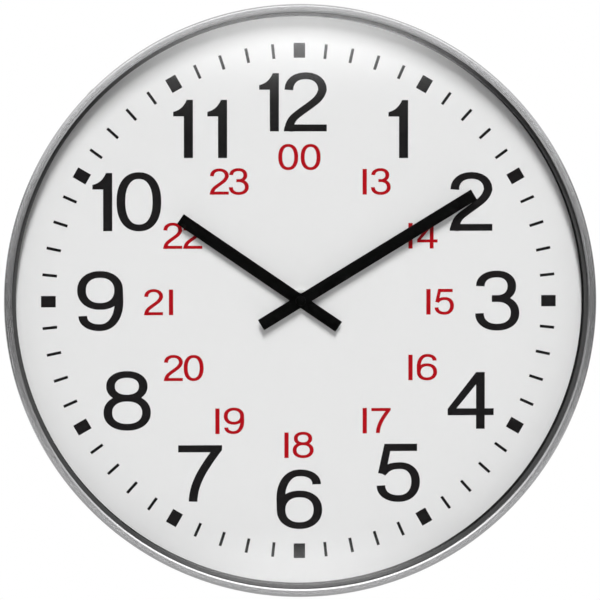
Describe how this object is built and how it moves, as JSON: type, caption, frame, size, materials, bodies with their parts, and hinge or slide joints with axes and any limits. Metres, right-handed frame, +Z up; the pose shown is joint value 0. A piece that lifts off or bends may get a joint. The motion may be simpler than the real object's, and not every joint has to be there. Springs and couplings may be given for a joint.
{
  "type": "twenty-four hour wall clock",
  "caption": "Round wall clock with a brushed aluminium case, flat glass, a white dial with an outer and an inner ring of hours, black bar hands and a quartz movement behind.",
  "frame": {"origin": "in the wall plane, at the middle of the wall screw where it sits at the top of the keyhole, 119 mm above the hands' axis", "axes": "+Z up, +Y into the wall, so the dial faces -Y, and +X to the right of someone reading the dial"},
  "size_m": [0.305, 0.042, 0.305],
  "materials": {
    "case_aluminium": "satin",
    "clear_glass": "polished",
    "black_rubber": "matte",
    "dial_white": "matte",
    "pan_paint": "matte",
    "plated_steel": "polished",
    "soft_iron": "satin",
    "black_plastic": "matte",
    "white_plastic": "satin",
    "brass": "satin",
    "magnet": "satin",
    "copper_wire": "satin",
    "board_green": "satin",
    "chip_resin": "gloss",
    "cell_jacket": "satin",
    "hand_black": "matte"
  },
  "bodies": {
    "case": {"case_ring": "case_aluminium", "lens": "clear_glass", "lens_gasket": "black_rubber", "spacer_hoop": "black_plastic", "dial_plate": "dial_white", "back_pan": "pan_paint", "case_screw_1": "plated_steel", "case_screw_2": "plated_steel", "case_screw_3": "plated_steel", "case_screw_4": "plated_steel", "dial_cushion": "black_rubber", "dial_washer": "plated_steel", "dial_nut": "plated_steel", "movement_housing": "black_plastic", "movement_cover": "black_plastic", "middle_plate": "white_plastic", "stator": "soft_iron", "coil_core": "soft_iron", "coil_spool": "black_plastic", "coil_winding": "copper_wire", "circuit_board": "board_green", "circuit_chip": "chip_resin", "quartz_crystal": "plated_steel", "contact_plus": "plated_steel", "contact_minus": "plated_steel"},
    "minute_group": {"minute_arbor": "brass", "centre_wheel": "white_plastic", "minute_hand": "hand_black", "hand_nut": "hand_black"},
    "hour_group": {"hour_wheel": "black_plastic", "hour_hand": "hand_black"},
    "motion_group": {"motion_wheel": "white_plastic"},
    "knob_group": {"setting_knob": "black_plastic"},
    "third_group": {"third_wheel": "white_plastic"},
    "seconds_group": {"seconds_wheel": "white_plastic"},
    "intermediate_group": {"intermediate_wheel": "white_plastic"},
    "rotor_group": {"rotor_pinion": "black_plastic", "rotor_magnet": "magnet"},
    "battery_group": {"battery": "cell_jacket"}
  },
  "joints": [
    {"name": "minute_spin", "type": "hinge", "parent": "case", "child": "minute_group", "pos_m": [0, -0.0185, -0.119], "axis": [0, 1, 0], "continuous": true},
    {"name": "hour_spin", "type": "hinge", "parent": "case", "child": "hour_group", "pos_m": [0, -0.022, -0.119], "axis": [0, 1, 0], "continuous": true},
    {"name": "motion_spin", "type": "hinge", "parent": "case", "child": "motion_group", "pos_m": [-0.0084, -0.021, -0.119], "axis": [0, 1, 0], "continuous": true},
    {"name": "knob_spin", "type": "hinge", "parent": "case", "child": "knob_group", "pos_m": [-0.01562, -0.0145, -0.12406], "axis": [0, 1, 0], "continuous": true},
    {"name": "third_spin", "type": "hinge", "parent": "case", "child": "third_group", "pos_m": [0.0054, -0.017, -0.10965], "axis": [0, 1, 0], "continuous": true},
    {"name": "seconds_spin", "type": "hinge", "parent": "case", "child": "seconds_group", "pos_m": [0, -0.0158, -0.119], "axis": [0, 1, 0], "continuous": true},
    {"name": "intermediate_spin", "type": "hinge", "parent": "case", "child": "intermediate_group", "pos_m": [0.01052, -0.0146, -0.12283], "axis": [0, 1, 0], "continuous": true},
    {"name": "rotor_spin", "type": "hinge", "parent": "case", "child": "rotor_group", "pos_m": [0.01643, -0.0129, -0.12179], "axis": [0, 1, 0], "continuous": true},
    {"name": "battery_lift", "type": "slide", "parent": "case", "child": "battery_group", "axis": [0, 1, 0], "range_m": [0, 0.03]}
  ],
  "couplings": [
    {"joint": "hour_spin", "follows": "minute_spin", "ratio": 0.083333},
    {"joint": "motion_spin", "follows": "minute_spin", "ratio": -0.33333},
    {"joint": "knob_spin", "follows": "minute_spin", "ratio": 0.83333},
    {"joint": "third_spin", "follows": "minute_spin", "ratio": -8},
    {"joint": "seconds_spin", "follows": "minute_spin", "ratio": 60},
    {"joint": "intermediate_spin", "follows": "minute_spin", "ratio": -360},
    {"joint": "rotor_spin", "follows": "minute_spin", "ratio": 1800}
  ]
}
